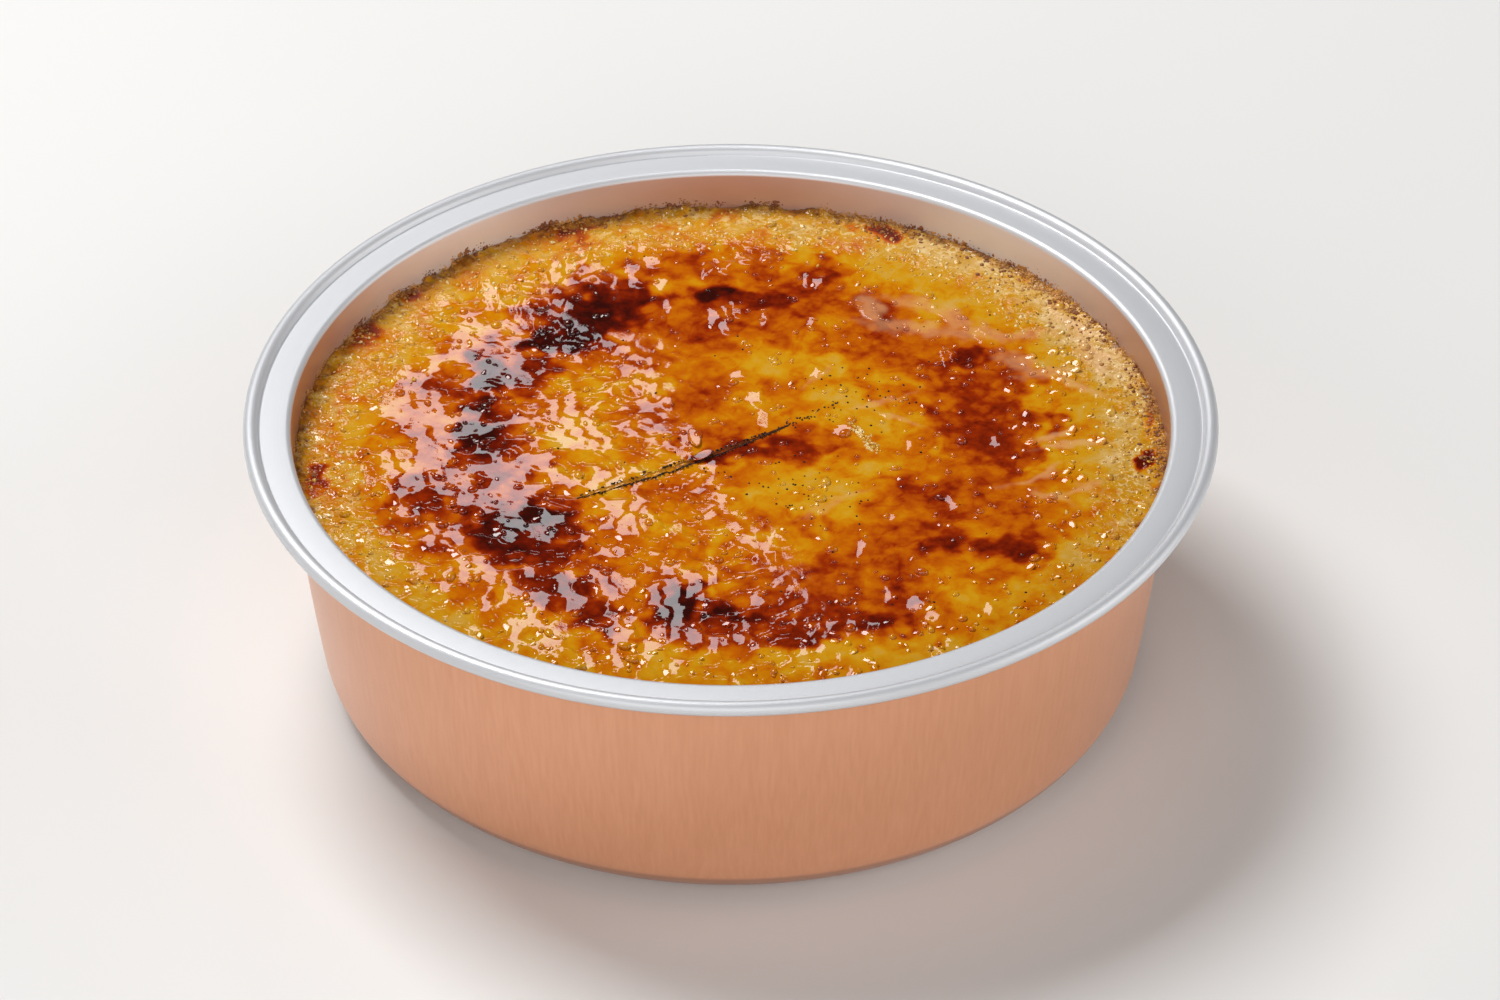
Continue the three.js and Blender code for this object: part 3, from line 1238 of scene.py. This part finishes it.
@dataclass(frozen=True)
class Speckled:
    """A finish that goes from dark to light in small clouds, with a fine relief.

    Clouds are (scale, detail, the noise that gives dark, the noise that gives light), and relief is
    (scale, detail, depth).
    """

    name: str
    dark: Colour
    light: Colour
    clouds: tuple[float, float, float, float]
    relief: tuple[float, float, float]
    roughness: float = 0.3
    specular: float = 0.5

    def material(self) -> bpy.types.Material:
        """Build the material.

        Returns:
            The material.
        """
        shader = Shader(self.name)
        scale, detail, low, high = self.clouds
        tone = shader.spread(shader.noise(scale, detail), low, high, 0.0, 1.0)
        scale, detail, depth = self.relief
        normal = shader.bump(shader.noise(scale, detail), depth * MM)
        shader.set(
            Base_Color=shader.mix(tone, self.dark, self.light),
            Roughness=self.roughness,
            Specular_IOR_Level=self.specular,
            Normal=normal,
        )
        return shader.material


@dataclass(frozen=True)
class SeedCoat(Speckled):
    """Vanilla seeds: almost black, a little oily."""

    name: str = "seed_coat"
    dark: Colour = srgb(18, 8, 5)
    light: Colour = srgb(52, 22, 10)
    clouds: tuple[float, float, float, float] = (1800, 2, 0.35, 0.65)
    relief: tuple[float, float, float] = (9000, 2, 0.01)
    specular: float = 0.25


@dataclass(frozen=True)
class SugarCrystal(Speckled):
    """Half-melted sugar: pale, glassy and faintly golden."""

    name: str = "sugar_crystal"
    dark: Colour = srgb(206, 152, 46)
    light: Colour = srgb(240, 216, 158)
    clouds: tuple[float, float, float, float] = (900, 3, 0.45, 0.65)
    relief: tuple[float, float, float] = (7000, 2, 0.02)


@dataclass(frozen=True)
class BurntCrumb(Speckled):
    """Crumbs of custard that baked onto the wall, in darker and lighter browns."""

    name: str = "burnt_crumb"
    dark: Colour = srgb(124, 66, 26)
    light: Colour = srgb(190, 132, 62)
    clouds: tuple[float, float, float, float] = (420, 3, 0.4, 0.62)
    relief: tuple[float, float, float] = (4200, 3, 0.06)
    roughness: float = 0.5


@dataclass(frozen=True)
class VanillaPod:
    """The sliver of split pod, half sunk in the caramel between two places on the crust."""

    crust: CrustField
    start: tuple[float, float] = (-15.8, -8.7)
    end: tuple[float, float] = (5.6, 3.9)
    bow: float = 1.1
    half_width: float = 0.66
    depth: float = 0.7
    ridge_height: float = 0.13
    ridge_place: float = 0.62
    ridge_width: float = 0.2
    steps: int = 150
    across: int = 12

    def point(self, along: float) -> Vector:
        """A point on the pod's middle line.

        Args:
            along: The share of the pod's length, from 0 to 1.

        Returns:
            The point, in plan.
        """
        start, end = Vector(self.start), Vector(self.end)
        middle = (start + end) / 2 + self.bow * self.side()
        return (1 - along) ** 2 * start + 2 * along * (1 - along) * middle + along**2 * end

    def side(self) -> Vector:
        """The unit vector across the pod, in plan."""
        run = (Vector(self.end) - Vector(self.start)).normalized()
        return Vector((run.y, -run.x))

    def half_width_at(self, along: float) -> float:
        """Half the pod's width at a share of its length: pointed at its start, drawn out at its end."""
        swelling = math.sin(math.pi * (0.03 + 0.94 * along)) ** 0.5 * (1 - 0.55 * along)
        return self.half_width * swelling * (1 + 0.35 * noise.noise((along * 14, 0, 5.0)))

    def ridge(self, over: float) -> float:
        """Height of the ridge at a place across the pod, from -1 to 1. It falls off at the pod's side."""
        swelling = math.exp(-(((abs(over) - self.ridge_place) / self.ridge_width) ** 2))
        return self.ridge_height * swelling - 0.3 * max(0.0, abs(over) - 0.75)

    def build(self) -> bpy.types.Object:
        """Shape a strip of cells with a ridge along each side, and close it underneath.

        Returns:
            The piece.
        """
        shape = bmesh.new()
        bmesh.ops.create_grid(shape, x_segments=self.steps, y_segments=self.across, size=1.0)
        cells = [(vert, (vert.co.x + 1) / 2, vert.co.y) for vert in shape.verts]
        for vert, along, over in cells:
            spot = self.point(along) + over * self.half_width_at(along) * self.side()
            vert.co = (spot.x * MM, spot.y * MM, 0.0)
        heights = self.crust.height(plan(shape))
        for (vert, along, over), height in zip(cells, heights):
            wrinkle = 0.05 * noise.noise((along * 60, over * 2, 9.0))
            vert.co.z = (height + self.ridge(over) + wrinkle) * MM
        ridges = {vert: abs(over) for vert, _, over in cells}
        shares = {vert: along for vert, along, _ in cells}
        for vert in draw_edge(shape):
            vert.co.z -= self.depth * MM
        shut(shape)
        ridge = [smooth_step(np.array(ridges.get(vert, 1.0)), 0.45, 0.9).item() for vert in shape.verts]
        along = [shares.get(vert, 0.5) for vert in shape.verts]
        piece = finished("split_vanilla_pod", shape, PodSkin().material(), "vanilla_pod", ["vanilla_pod"])
        carry(piece, "ridge", np.array(ridge))
        carry(piece, "along", smooth_step(np.array(along), 0.35, 0.62))
        return piece


class Body(Enum):
    """The plain form that each bit of a kind starts from, with its number of faces kept low."""

    BEAD = "bead"
    GRAIN = "grain"

    def mould(self) -> bpy.types.Mesh:
        """Shape one body of the kind, to make the others from.

        Returns:
            Its mesh, a metre in radius.
        """
        shape = bmesh.new()
        if self is Body.BEAD:
            bmesh.ops.create_uvsphere(shape, u_segments=10, v_segments=6, radius=1.0)
        else:
            bmesh.ops.create_icosphere(shape, subdivisions=1, radius=1.0)
        return as_mesh(f"{self.value}_mould", shape)


@dataclass(frozen=True)
class Bit:
    """One small body: where it lies, its three radii, its middle's height over the crust, its turn."""

    x: float
    y: float
    radii: tuple[float, float, float]
    rise: float = 0.0
    turn: tuple[float, float, float] = (0.0, 0.0, 0.0)

    def matrix(self, height: float) -> Matrix:
        """Where the bit goes, and how large.

        Args:
            height: The crust's height under it, in millimetres.

        Returns:
            Its size, turn and place, in metres.
        """
        place = Matrix.Translation(Vector((self.x, self.y, height + self.rise)) * MM)
        lean = Matrix.Rotation(self.turn[0], 4, "X") @ Matrix.Rotation(self.turn[1], 4, "Y")
        turn = lean @ Matrix.Rotation(self.turn[2], 4, "Z")
        return place @ turn @ Matrix.Diagonal((*(radius * MM for radius in self.radii), 1.0))


@dataclass(frozen=True)
class Bits:
    """Many bits of one kind, joined in one mesh. Each kind says where its bits lie."""

    crust: CrustField
    finish: bpy.types.Material
    seed: int
    name: str = "bits"
    slot: str = "caramel_custard"
    body: Body = Body.GRAIN

    def bits(self, chance: random.Random) -> Iterable[Bit]:
        """Where the bits lie, drawn with the kind's own source of chance."""
        raise NotImplementedError

    def build(self) -> bpy.types.Object:
        """Make the bits and join them.

        Returns:
            The piece.
        """
        bits = list(self.bits(random.Random(self.seed)))
        shape = bmesh.new()
        heights = self.crust.height(np.array([(bit.x, bit.y) for bit in bits]))
        mould = self.body.mould()
        moulded = np.array([vert.co for vert in mould.vertices])
        for bit, height in zip(bits, heights):
            matrix = np.array(bit.matrix(float(height)))
            mould.vertices.foreach_set("co", (moulded @ matrix[:3, :3].T + matrix[:3, 3]).ravel())
            shape.from_mesh(mould)
        bpy.data.meshes.remove(mould)
        spots = plan(shape)
        piece = finished(self.name, shape, self.finish, self.slot)
        dress_with_field(piece, self.crust, spots)
        return piece


def on_disc(chance: random.Random, inner: float, outer: float) -> tuple[float, float]:
    """A spot drawn evenly from the ring between two radii.

    Args:
        chance: The source of chance.
        inner: The smaller radius.
        outer: The larger radius.

    Returns:
        The spot's x and y.
    """
    radius = math.sqrt(chance.uniform(inner**2, outer**2))
    angle = chance.uniform(0, 2 * math.pi)
    return radius * math.cos(angle), radius * math.sin(angle)


@dataclass(frozen=True)
class Bubbles(Bits):
    """Frozen bubbles in the caramel: low domes, some of them with a smaller one beside them."""

    name: str = "caramel_bubbles"
    body: Body = Body.BEAD
    count: int = 750
    outer: float = 43.6

    def bits(self, chance: random.Random) -> Iterable[Bit]:
        """Single bubbles, some of them with a smaller one beside them.

        Args:
            chance: The source of chance.

        Returns:
            The bubbles.
        """
        for _ in range(self.count):
            x, y = on_disc(chance, 0.0, self.outer)
            radius = min(0.62, 0.2 + chance.expovariate(8.0))
            yield self.dome(x, y, radius, chance)
            if chance.random() < 0.2:
                turn = chance.uniform(0, 2 * math.pi)
                reach = radius * 1.5
                beside = (x + reach * math.cos(turn), y + reach * math.sin(turn))
                yield self.dome(*beside, radius * 0.6, chance)

    @staticmethod
    def dome(x: float, y: float, radius: float, chance: random.Random) -> Bit:
        """Shape one bubble, a little longer one way.

        Args:
            x: Its place to the right.
            y: Its place to the back.
            radius: Its mean radius.
            chance: The source of chance.

        Returns:
            The bubble.
        """
        stretch = chance.uniform(0.8, 1.35)
        radii = (radius * stretch, radius / stretch, radius * chance.uniform(0.5, 0.8))
        return Bit(x, y, radii, 0.05 * radius, (0, 0, chance.uniform(0, math.pi)))


@dataclass(frozen=True)
class Flakes(Bits):
    """Glazed flakes of sugar, most of them leaning to the front left, where they catch the light.

    A lot is (x, y, spread along x, spread along y, count, least radius, most radius).
    """

    name: str = "glazed_flakes"
    body: Body = Body.BEAD
    lean: tuple[float, float] = (0.28, -0.24)
    everywhere: int = 300
    inner: float = 8.0
    outer: float = 43.5
    lots_outer: float = 43.0
    lots: tuple[tuple[float, float, float, float, int, float, float], ...] = (
        (34.5, 2, 2.6, 14, 60, 0.3, 0.75),
        (2, -33, 16, 4, 80, 0.25, 0.6),
    )
    pod_plates: tuple[Bit, ...] = (
        Bit(-3.8, 1.7, (0.65, 1.7, 0.012), 0.18, (0.0, -0.067, 0.2)),
        Bit(-2.9, -1.6, (1.3, 0.62, 0.012), 0.42, (0.0, -0.066, 0.7)),
    )

    def bits(self, chance: random.Random) -> Iterable[Bit]:
        """Flakes everywhere, more of them on the right and along the front, and two plates at the pod.

        Args:
            chance: The source of chance.

        Returns:
            The flakes.
        """
        for _ in range(self.everywhere):
            x, y = on_disc(chance, self.inner, self.outer)
            yield self.flake_at(x, y, chance.uniform(0.16, 0.42), chance)
        for middle_x, middle_y, spread_x, spread_y, count, least, most in self.lots:
            for _ in range(count):
                x, y = chance.gauss(middle_x, spread_x), chance.gauss(middle_y, spread_y)
                if math.hypot(x, y) < self.lots_outer:
                    yield self.flake_at(x, y, chance.uniform(least, most), chance)
        yield from self.pod_plates

    def flake_at(self, x: float, y: float, radius: float, chance: random.Random) -> Bit:
        """Shape one flake, with its own lean.

        Args:
            x: Its place to the right.
            y: Its place to the back.
            radius: Its radius before it is stretched.
            chance: The source of chance.

        Returns:
            The flake.
        """
        lean = [side + chance.gauss(0, 0.12) for side in self.lean]
        radii = (radius * chance.uniform(1.0, 1.4), radius * chance.uniform(0.65, 1.0), 0.05 + 0.1 * radius)
        return Bit(x, y, radii, 0.02, (*lean, chance.uniform(0, math.pi)))


@dataclass(frozen=True)
class Seeds(Bits):
    """Vanilla seeds along the pod, beyond its end, and strewn over the paler right-hand side."""

    pod: VanillaPod | None = None
    name: str = "vanilla_seeds"
    slot: str = "vanilla_pod"
    along_pod: int = 190
    past_end: int = 34
    past_end_run: tuple[float, float] = (6.5, 5.2)
    everywhere: int = 50
    clouds: tuple[tuple[float, float, float, int], ...] = (
        (9, -6, 3.2, 30),
        (13, 9, 3.0, 32),
        (4, -8, 4.0, 16),
        (-5, -2, 2.5, 10),
    )

    def bits(self, chance: random.Random) -> Iterable[Bit]:
        """Seeds along the pod's ridges, past its end, in clouds (x, y, spread, count), and everywhere.

        Args:
            chance: The source of chance.

        Returns:
            The seeds.
        """
        side = self.pod.side()
        for _ in range(self.along_pod):
            along = chance.uniform(0.02, 1.0)
            reach = self.pod.half_width_at(along) * chance.choice((-1, 1)) * chance.uniform(0.75, 1.25)
            spot = self.pod.point(along) + reach * side
            yield self.seed_at(spot.x, spot.y, chance, 0.14)
        (end_x, end_y), (run_x, run_y) = self.pod.end, self.past_end_run
        for _ in range(self.past_end):
            along = chance.random() ** 1.5
            x, y = end_x + run_x * along, end_y + run_y * along + chance.gauss(0, 0.35)
            yield self.seed_at(x, y, chance)
        for x, y, spread, count in self.clouds:
            for _ in range(count):
                yield self.seed_at(chance.gauss(x, spread), chance.gauss(y, spread), chance)
        for _ in range(self.everywhere):
            yield self.seed_at(*on_disc(chance, 0, 40), chance)

    @staticmethod
    def seed_at(x: float, y: float, chance: random.Random, rise: float = 0.03) -> Bit:
        """Shape one seed.

        Args:
            x: Its place to the right.
            y: Its place to the back.
            chance: The source of chance.
            rise: Its middle's height over the crust.

        Returns:
            The seed.
        """
        radius = chance.uniform(0.07, 0.13)
        radii = (radius * chance.uniform(1.0, 1.5), radius, radius * 0.8)
        return Bit(x, y, radii, rise, (0, 0, chance.uniform(0, math.pi)))


@dataclass(frozen=True)
class Sugar(Bits):
    """Sugar that didn't melt: a band of grains along the wall and one long heap of shards."""

    name: str = "sugar_grains"
    count: int = 1900
    band: tuple[float, float] = (34.5, 44.0)
    shards: int = 70
    heap_start: tuple[float, float] = (12.6, 4.4)
    heap_run: tuple[float, float] = (2.3, -4.8)

    def bits(self, chance: random.Random) -> Iterable[Bit]:
        """Grains in the rim's band, fewer along the front, then the shards of the heap.

        Args:
            chance: The source of chance.

        Returns:
            The grains.
        """
        for _ in range(self.count):
            x, y = on_disc(chance, *self.band)
            if chance.random() < (math.hypot(x, y) - 34.0) / 5 and y > chance.uniform(-32, -10):
                yield self.grain_at(x, y, 0.06 + 0.16 * chance.random() ** 2, chance)
        (start_x, start_y), (run_x, run_y) = self.heap_start, self.heap_run
        for _ in range(self.shards):
            along = chance.random()
            x = start_x + run_x * along + chance.gauss(0, 0.28)
            y = start_y + run_y * along + chance.gauss(0, 0.3)
            yield self.grain_at(x, y, chance.uniform(0.1, 0.24), chance)

    @staticmethod
    def grain_at(x: float, y: float, radius: float, chance: random.Random) -> Bit:
        """Shape one grain, a little longer one way.

        Args:
            x: Its place to the right.
            y: Its place to the back.
            radius: Its radius before it is stretched.
            chance: The source of chance.

        Returns:
            The grain.
        """
        radii = (radius * chance.uniform(1.0, 2.4), radius, radius * chance.uniform(0.4, 0.8))
        lean = (chance.gauss(0.28, 0.3), chance.gauss(-0.24, 0.3))
        return Bit(x, y, radii, 0.02, (*lean, chance.uniform(0, math.pi)))


@dataclass(frozen=True)
class WallCrumbs(Bits):
    """Browned crumbs of custard on the wall just above the crust, and on the crust beside it.

    Angles and their spread are in degrees. A clump is (angle, spread, count), and a strewn lot is
    (angle, spread, mean distance from the wall, count).
    """

    name: str = "wall_crumbs"
    sizes: CupSizes = field(default_factory=CupSizes)
    everywhere: int = 7500
    clumps: tuple[tuple[float, float, int], ...] = (
        (113, 4, 26),
        (69, 4, 30),
        (38, 9, 60),
        (10, 4, 24),
        (-4, 2, 14),
        (150, 3, 18),
        (139, 4, 14),
        (186, 3, 14),
    )
    strewn: tuple[tuple[float, float, float, int], ...] = (
        (90, 200, 0.5, 900),
        (40, 8, 1.3, 420),
        (68, 4, 0.9, 130),
        (113, 4, 0.9, 90),
        (10, 4, 1.0, 130),
        (-4, 3, 1.0, 90),
        (150, 4, 0.8, 70),
        (139, 4, 0.8, 50),
        (186, 3, 0.8, 50),
    )

    def bits(self, chance: random.Random) -> Iterable[Bit]:
        """Crumbs all round the wall, then its clumps, then those strewn on the crust.

        Args:
            chance: The source of chance.

        Returns:
            The crumbs.
        """
        for _ in range(self.everywhere):
            angle = chance.uniform(0, 360)
            if noise.noise((angle / 7, 0, 91.0)) + 0.15 > chance.uniform(-0.2, 0.6):
                yield self.crumb_at(angle, chance)
        for angle, spread, count in self.clumps:
            for _ in range(count):
                yield self.crumb_at(chance.gauss(angle, spread), chance)
        for angle, spread, reach, count in self.strewn:
            for _ in range(count):
                yield self.strewn_at(chance.gauss(angle, spread), chance.expovariate(1 / reach), chance)

    def strewn_at(self, angle: float, reach: float, chance: random.Random) -> Bit:
        """Shape one crumb on the crust.

        Args:
            angle: Its angle round the wall.
            reach: Its distance from the wall.
            chance: The source of chance.

        Returns:
            The crumb.
        """
        size = min(0.3, 0.07 + chance.expovariate(13.0))
        out = self.sizes.wall(self.crust.level) - self.sizes.sheet - reach
        turn = math.radians(angle)
        radii = (size, size * chance.uniform(0.6, 1.0), size * 0.6)
        return Bit(out * math.cos(turn), out * math.sin(turn), radii, 0.02, (0, 0, chance.uniform(0, 3)))

    def crumb_at(self, angle: float, chance: random.Random) -> Bit:
        """Shape one crumb on the wall, smaller the higher it sits.

        Args:
            angle: Its angle round the wall.
            chance: The source of chance.

        Returns:
            The crumb.
        """
        size = min(0.36, 0.06 + chance.expovariate(14.0))
        rise = chance.uniform(-0.1, 0.5) + chance.expovariate(5.0) * 0.8
        size /= 1 + 0.6 * rise**2
        inner = self.sizes.wall(self.crust.level + rise) - self.sizes.sheet
        turn = math.radians(angle)
        radii = (size * 0.35, size * chance.uniform(0.6, 1.3), size * chance.uniform(0.5, 1.2))
        x, y = inner * math.cos(turn), inner * math.sin(turn)
        return Bit(x, y, radii, min(rise, 1.6) - 0.2, (0, 0, turn))


# --------------------------------------------------------------------------------------------------
# The studio
# --------------------------------------------------------------------------------------------------


@dataclass(frozen=True)
class SoftBox:
    """A rectangular studio light that faces the crust."""

    name: str
    place: tuple[float, float, float]
    width: float
    height: float
    radiance: float
    colour: tuple[float, float, float] = (1.0, 1.0, 1.0)
    roll: float = 0.0

    def build(self, target: Vector) -> None:
        """Hang the light.

        Args:
            target: The point that it faces, in metres.
        """
        lamp = bpy.data.lights.new(self.name, "AREA")
        lamp.shape = "RECTANGLE"
        lamp.size, lamp.size_y = self.width * MM, self.height * MM
        lamp.energy = self.radiance * math.pi * lamp.size * lamp.size_y
        lamp.color = self.colour
        light = put_in_scene(self.name, lamp)
        light.location = Vector(self.place) * MM
        facing = (light.location - target).to_track_quat("Z", "Y").to_matrix()
        light.rotation_euler = (facing @ Matrix.Rotation(math.radians(self.roll), 3, "Z")).to_euler()


@dataclass(frozen=True)
class Studio:
    """The floor, the lights and the camera."""

    sizes: CupSizes
    elevation: float = 35.41
    distance: float = 700.0
    lens: float = 163.7
    aim_right: float = 1.95
    aim_down: float = 8.82
    surroundings: Colour = srgb(30, 30, 32)
    floor_half: float = 3000.0
    floor_dark: Colour = srgb(226, 225, 223)
    floor_light: Colour = srgb(229, 228, 226)
    lights: tuple[SoftBox, ...] = (
        SoftBox("key", (-270, 280, 640), 340, 340, 14.0),
        SoftBox("strip", (-42, 500, 391), 44, 140, 4.5, (0.94, 0.97, 1.0), 24.0),
        SoftBox("front", (-100, -950, 420), 1400, 800, 2.25),
        SoftBox("right", (900, -120, 280), 900, 600, 2.6),
        SoftBox("left", (-900, -120, 280), 900, 600, 0.7),
    )

    def build(self) -> None:
        """Lay the floor, hang the lights and place the camera."""
        self.lay_floor()
        for light in self.lights:
            light.build(Vector((0, 0, self.sizes.flange * MM)))
        self.place_camera()
        scene = bpy.context.scene
        scene.view_settings.view_transform = "Standard"
        scene.world = bpy.data.worlds.new("studio")
        scene.world.use_nodes = True
        scene.world.node_tree.nodes["Background"].inputs[0].default_value = self.surroundings

    def lay_floor(self) -> None:
        """Lay a wide pale floor under the cup."""
        shape = bmesh.new()
        bmesh.ops.create_grid(shape, x_segments=1, y_segments=1, size=self.floor_half * MM)
        mesh = as_mesh("floor", shape)
        shader = Shader("pale_floor")
        tone = shader.spread(shader.noise(6, 2.0), 0.3, 0.7, 0.0, 1.0)
        shader.set(Base_Color=shader.mix(tone, self.floor_dark, self.floor_light), Roughness=0.9)
        mesh.materials.append(shader.material)
        floor = put_in_scene("floor", mesh)
        floor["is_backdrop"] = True

    def place_camera(self) -> None:
        """Place the camera in front, looking down on the flange."""
        tilt = math.radians(self.elevation)
        back = Vector((0, -math.cos(tilt), math.sin(tilt)))
        up = Vector((0, math.sin(tilt), math.cos(tilt)))
        flange = Vector((0, 0, self.sizes.flange))
        aim = flange + Vector((self.aim_right, 0, 0)) - self.aim_down * up
        lens = bpy.data.cameras.new("camera")
        lens.lens = self.lens
        camera = put_in_scene("camera", lens)
        camera.location = (flange + self.distance * back) * MM
        camera.rotation_euler = (camera.location - aim * MM).to_track_quat("Z", "Y").to_euler()
        bpy.context.scene.camera = camera


def main() -> None:
    """Build the object and the studio."""
    logging.basicConfig(level=logging.INFO, format="%(message)s")
    sizes = CupSizes()
    crust = CrustField()
    caramel = BurntCaramel().material()
    Studio(sizes).build()
    Cup(sizes).build()
    Crust(sizes, crust, caramel).build()
    pod = VanillaPod(crust)
    pod.build()
    Bubbles(crust, caramel, seed=11).build()
    Flakes(crust, caramel, seed=15).build()
    Seeds(crust, SeedCoat().material(), seed=12, pod=pod).build()
    Sugar(crust, SugarCrystal().material(), seed=13).build()
    WallCrumbs(crust, BurntCrumb().material(), seed=14).build()
    boxes = {"cad": CAD_BOX, "visual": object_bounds()}
    {name: [list(corner) for corner in box] for name, box in boxes.items()}


if __name__ == "__main__":
    main()
